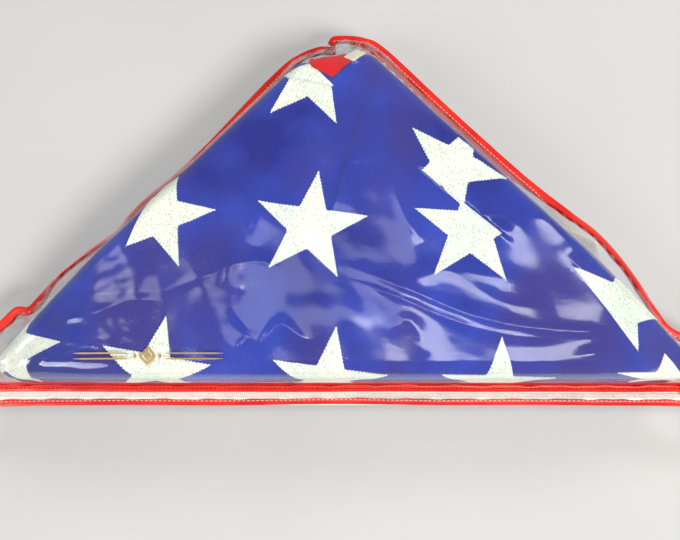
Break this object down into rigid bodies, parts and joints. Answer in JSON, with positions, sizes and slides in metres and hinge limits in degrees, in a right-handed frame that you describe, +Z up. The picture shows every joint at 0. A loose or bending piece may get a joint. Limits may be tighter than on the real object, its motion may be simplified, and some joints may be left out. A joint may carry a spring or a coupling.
{
  "type": "folded flag display case",
  "caption": "Soft clear vinyl zip case with red bound edges, three-cornered, lying on its back with a folded star-and-stripe flag inside.",
  "frame": {"origin": "centre of the box's underside, on the surface the case lies on", "axes": "+Z up out of the clear front, +X along the long zipped edge, +Y from the zipped edge towards the blunt tip"},
  "size_m": [0.657, 0.3246, 0.0865],
  "materials": {
    "clear_vinyl": "gloss",
    "red_vinyl": "gloss",
    "zip_white": "matte",
    "coil_white": "satin",
    "slider_metal": "polished",
    "blue_cloth": "matte",
    "star_thread": "matte",
    "stripe_cloth": "matte",
    "white_cloth": "matte",
    "brass": "satin",
    "gold_foil": "polished"
  },
  "bodies": {
    "case": {"back_panel": "clear_vinyl", "front_panel": "clear_vinyl", "binding_left": "red_vinyl", "binding_right": "red_vinyl", "zip_binding_back": "red_vinyl", "zip_binding_front": "red_vinyl", "zip_tape_front": "zip_white", "zip_tape_back": "zip_white", "zip_coil_front": "coil_white", "zip_coil_back": "coil_white", "zip_stop_closed": "slider_metal", "zip_stop_open": "slider_metal", "flag_wrap_upper": "blue_cloth", "flag_wrap_under": "blue_cloth", "flag_stripe_folds": "stripe_cloth", "flag_red_end": "stripe_cloth", "flag_white_end": "white_cloth", "flag_heading": "white_cloth", "flag_grommet": "brass", "foil_ornament": "gold_foil", "star_tip": "star_thread", "star_left": "star_thread", "star_middle": "star_thread", "star_right_high": "star_thread", "star_right_low": "star_thread", "star_far_right": "star_thread", "star_front_left": "star_thread", "star_front_middle": "star_thread", "star_front_right": "star_thread", "star_corner_left": "star_thread"},
    "slider": {"zip_slider": "slider_metal"},
    "pull": {"zip_pull": "slider_metal"}
  },
  "joints": [
    {"name": "zip_slide", "type": "slide", "parent": "case", "child": "slider", "axis": [-1, 0, 0], "range_m": [0, 0.585]},
    {"name": "pull_hinge", "type": "hinge", "parent": "slider", "child": "pull", "pos_m": [0.293, -0.1537, 0.0426], "axis": [0, 1, 0], "range_deg": [0, 170]}
  ]
}
